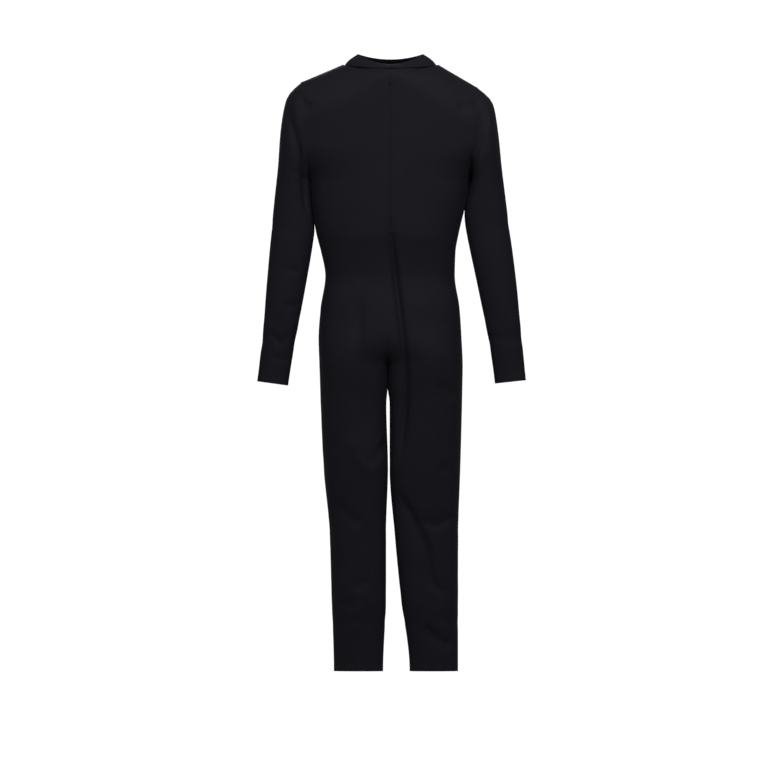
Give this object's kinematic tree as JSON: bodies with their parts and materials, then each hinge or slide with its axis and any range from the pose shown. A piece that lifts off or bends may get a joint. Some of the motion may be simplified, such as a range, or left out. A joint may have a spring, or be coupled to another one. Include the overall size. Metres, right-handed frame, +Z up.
{
  "type": "full wetsuit",
  "caption": "One-piece suit of thin black stretch fabric with long sleeves, full legs, a low funnel collar and a hidden zip down the back.",
  "frame": {"origin": "the hang point, inside the neck midway between the shoulders, 18 mm below the collar's side seams", "axes": "+Z up towards the collar, -Y towards the back with the zip, +X towards the wearer's right"},
  "size_m": [0.6227, 0.1746, 1.45],
  "materials": {
    "knit": "matt black stretch knit face",
    "lining": "brushed black knit",
    "binding": "folded and stitched black hem",
    "fastener": "black hook and loop tape",
    "tape": "woven black zip tape",
    "coil": "moulded black nylon coil",
    "metal": "black plated zinc",
    "label": "woven satin, blank"
  },
  "bodies": {
    "torso": {"back_left_panel": "knit", "front_left_panel": "knit", "zip_tape_left": "tape", "zip_coil_left": "coil", "zip_top_stop_left": "metal", "back_right_panel": "knit", "front_right_panel": "knit", "zip_tape_right": "tape", "zip_coil_right": "coil", "zip_top_stop_right": "metal", "collar_outer": "knit", "collar_lining": "lining", "collar_loop_patch": "fastener", "collar_tab": "fastener", "zip_bottom_stop": "metal", "zip_guard": "lining", "care_label": "label"},
    "left_arm": {"left_sleeve": "knit", "left_cuff_hem": "binding"},
    "right_arm": {"right_sleeve": "knit", "right_cuff_hem": "binding"},
    "left_leg": {"back_left_leg": "knit", "front_left_leg": "knit", "left_ankle_hem": "binding"},
    "right_leg": {"back_right_leg": "knit", "front_right_leg": "knit", "right_ankle_hem": "binding"},
    "slider": {"zip_slider": "metal"},
    "pull": {"zip_pull": "metal"}
  },
  "joints": [
    {"name": "left_shoulder", "type": "hinge", "parent": "torso", "child": "left_arm", "pos_m": [-0.21, 0, -0.023], "axis": [0, 1, 0], "range_deg": [0, 80]},
    {"name": "right_shoulder", "type": "hinge", "parent": "torso", "child": "right_arm", "pos_m": [0.205, 0, -0.036], "axis": [0, -1, 0], "range_deg": [0, 80]},
    {"name": "left_hip", "type": "hinge", "parent": "torso", "child": "left_leg", "pos_m": [-0.091, 0, -0.705], "axis": [0, 1, 0], "range_deg": [0, 25]},
    {"name": "right_hip", "type": "hinge", "parent": "torso", "child": "right_leg", "pos_m": [0.091, 0, -0.705], "axis": [0, -1, 0], "range_deg": [0, 25]},
    {"name": "zip_slide", "type": "slide", "parent": "torso", "child": "slider", "axis": [0, 0, -1], "range_m": [0, 0.337]},
    {"name": "pull_hinge", "type": "hinge", "parent": "slider", "child": "pull", "pos_m": [0, -0.08465, -0.0245], "axis": [-1, 0, 0], "range_deg": [0, 160]}
  ]
}
